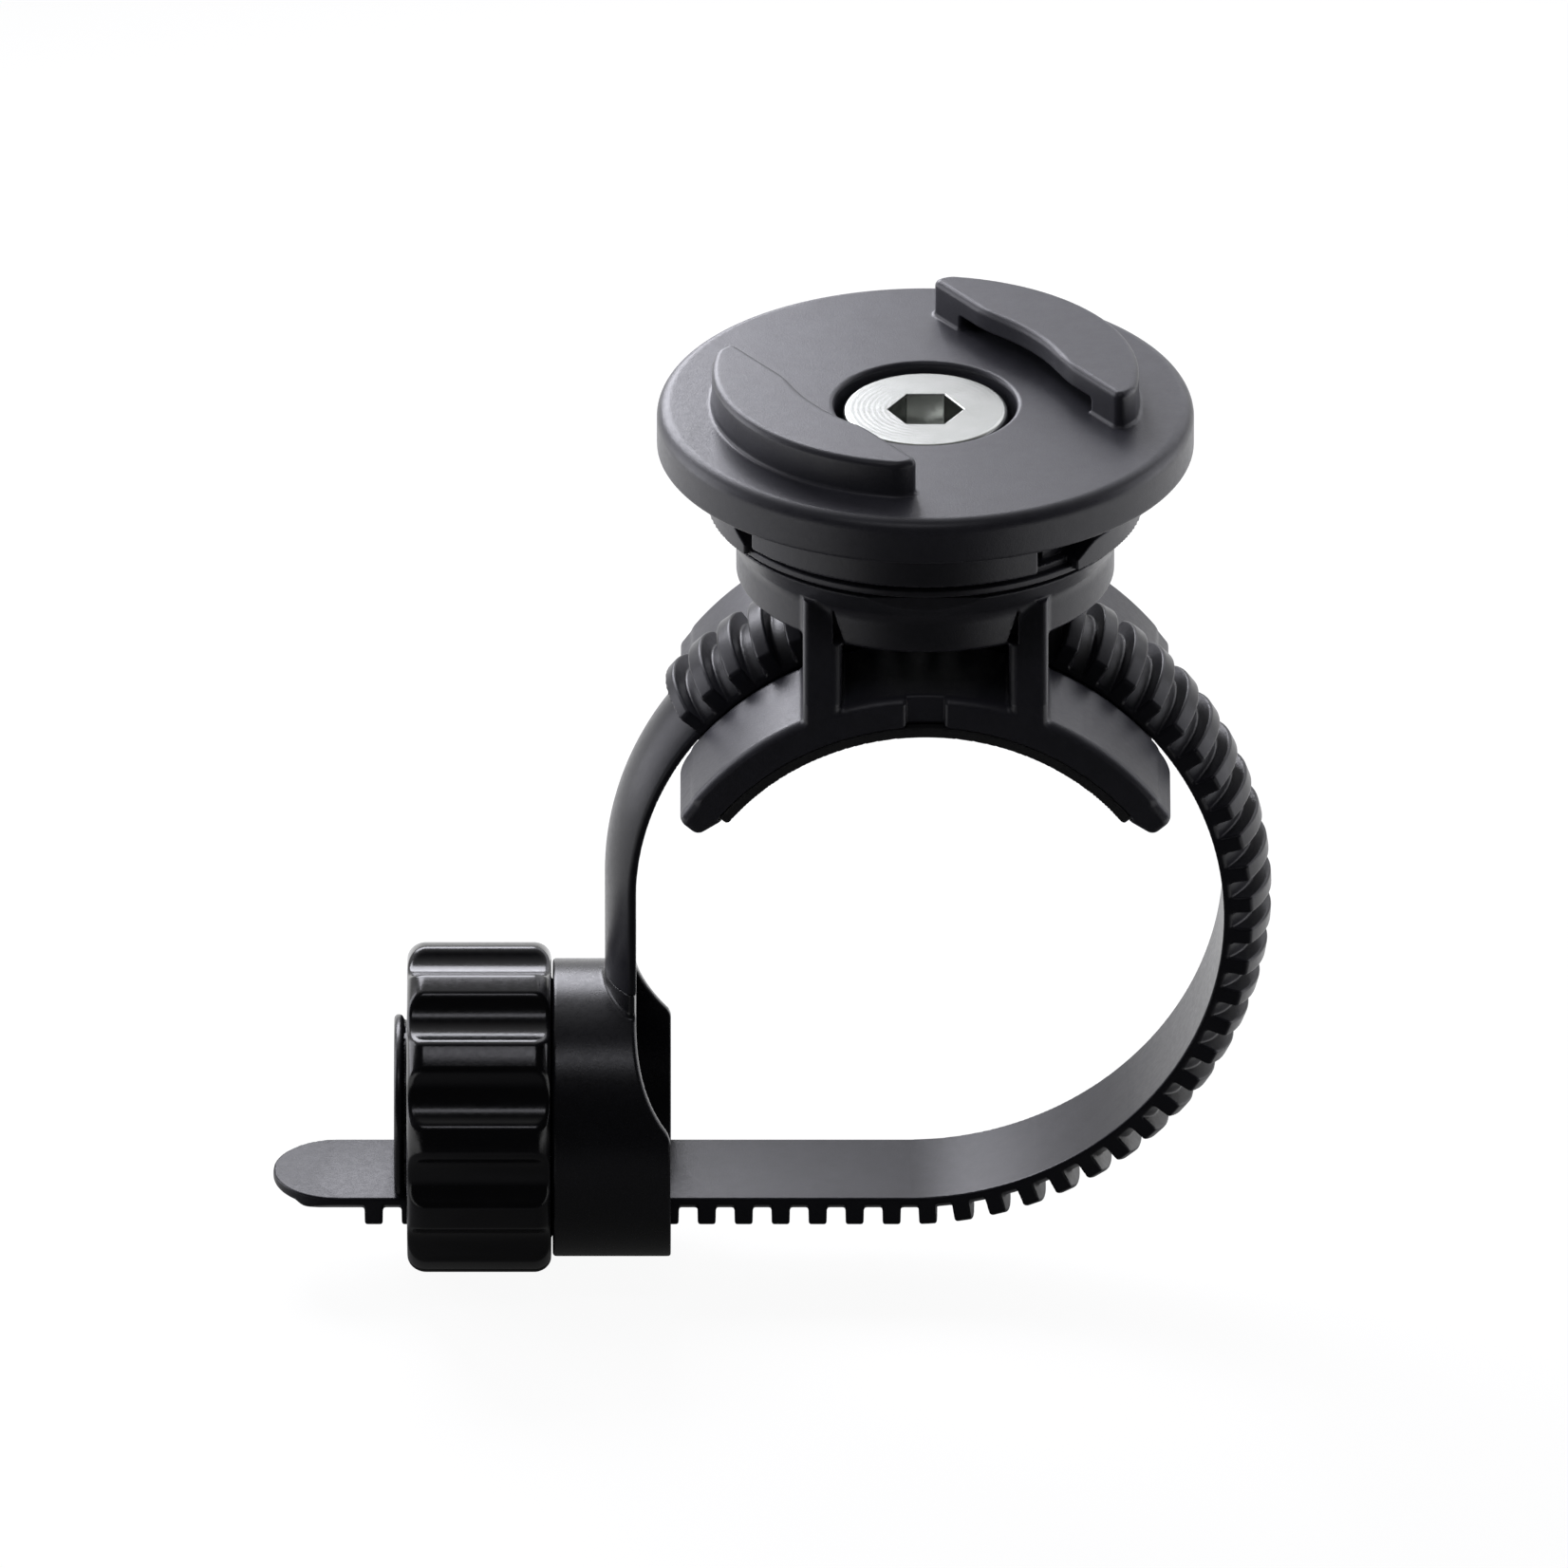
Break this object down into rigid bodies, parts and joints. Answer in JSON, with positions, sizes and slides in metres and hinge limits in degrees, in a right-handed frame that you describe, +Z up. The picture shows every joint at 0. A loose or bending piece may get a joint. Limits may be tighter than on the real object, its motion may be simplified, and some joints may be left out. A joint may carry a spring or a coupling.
{
  "type": "phone handlebar mount",
  "caption": "Strap-type handlebar mount for a phone, with a round twist-lock head on a saddle and a toothed strap drawn tight by a lobed knob.",
  "frame": {"origin": "on the handlebar's axis, half way along the saddle", "axes": "+Y along the handlebar, +Z up through the head's screw, -X towards the knob"},
  "size_m": [0.0639, 0.0342, 0.0633],
  "materials": {
    "head_plastic": "fine moulded texture, satin",
    "base_plastic": "fine moulded texture, satin",
    "pad_rubber": "matte rubber",
    "strap_elastomer": "flexible plastic, satin",
    "buckle_plastic": "semi-gloss",
    "knob_plastic": "glossy",
    "screw_steel": "machined bright steel",
    "nut_steel": "zinc plated steel"
  },
  "bodies": {
    "base": {"saddle_base": "base_plastic", "bar_pad": "pad_rubber", "captive_nut": "nut_steel", "strap_toothed": "strap_elastomer", "strap_shank": "strap_elastomer"},
    "head": {"head_plate": "head_plastic", "index_ring": "base_plastic"},
    "screw": {"head_screw": "screw_steel"},
    "buckle": {"buckle_housing": "buckle_plastic"},
    "knob": {"tension_knob": "knob_plastic"}
  },
  "joints": [
    {"name": "head_turn", "type": "hinge", "parent": "base", "child": "head", "pos_m": [0, 0, 0.026], "axis": [0, 0, 1], "continuous": true},
    {"name": "screw_turn", "type": "hinge", "parent": "base", "child": "screw", "pos_m": [0, 0, 0.0262], "axis": [0, 0, 1], "continuous": true},
    {"name": "buckle_slide", "type": "slide", "parent": "base", "child": "buckle", "axis": [1, 0, 0], "range_m": [-0.00473, 0.00237], "deforming": ["strap_shank"]},
    {"name": "knob_turn", "type": "hinge", "parent": "buckle", "child": "knob", "pos_m": [-0.0285, 0, -0.01697], "axis": [1, 0, 0], "range_deg": [-720, 360]}
  ],
  "couplings": [
    {"joint": "knob_turn", "follows": "buckle_slide", "rad_per_m": 2654.5}
  ]
}
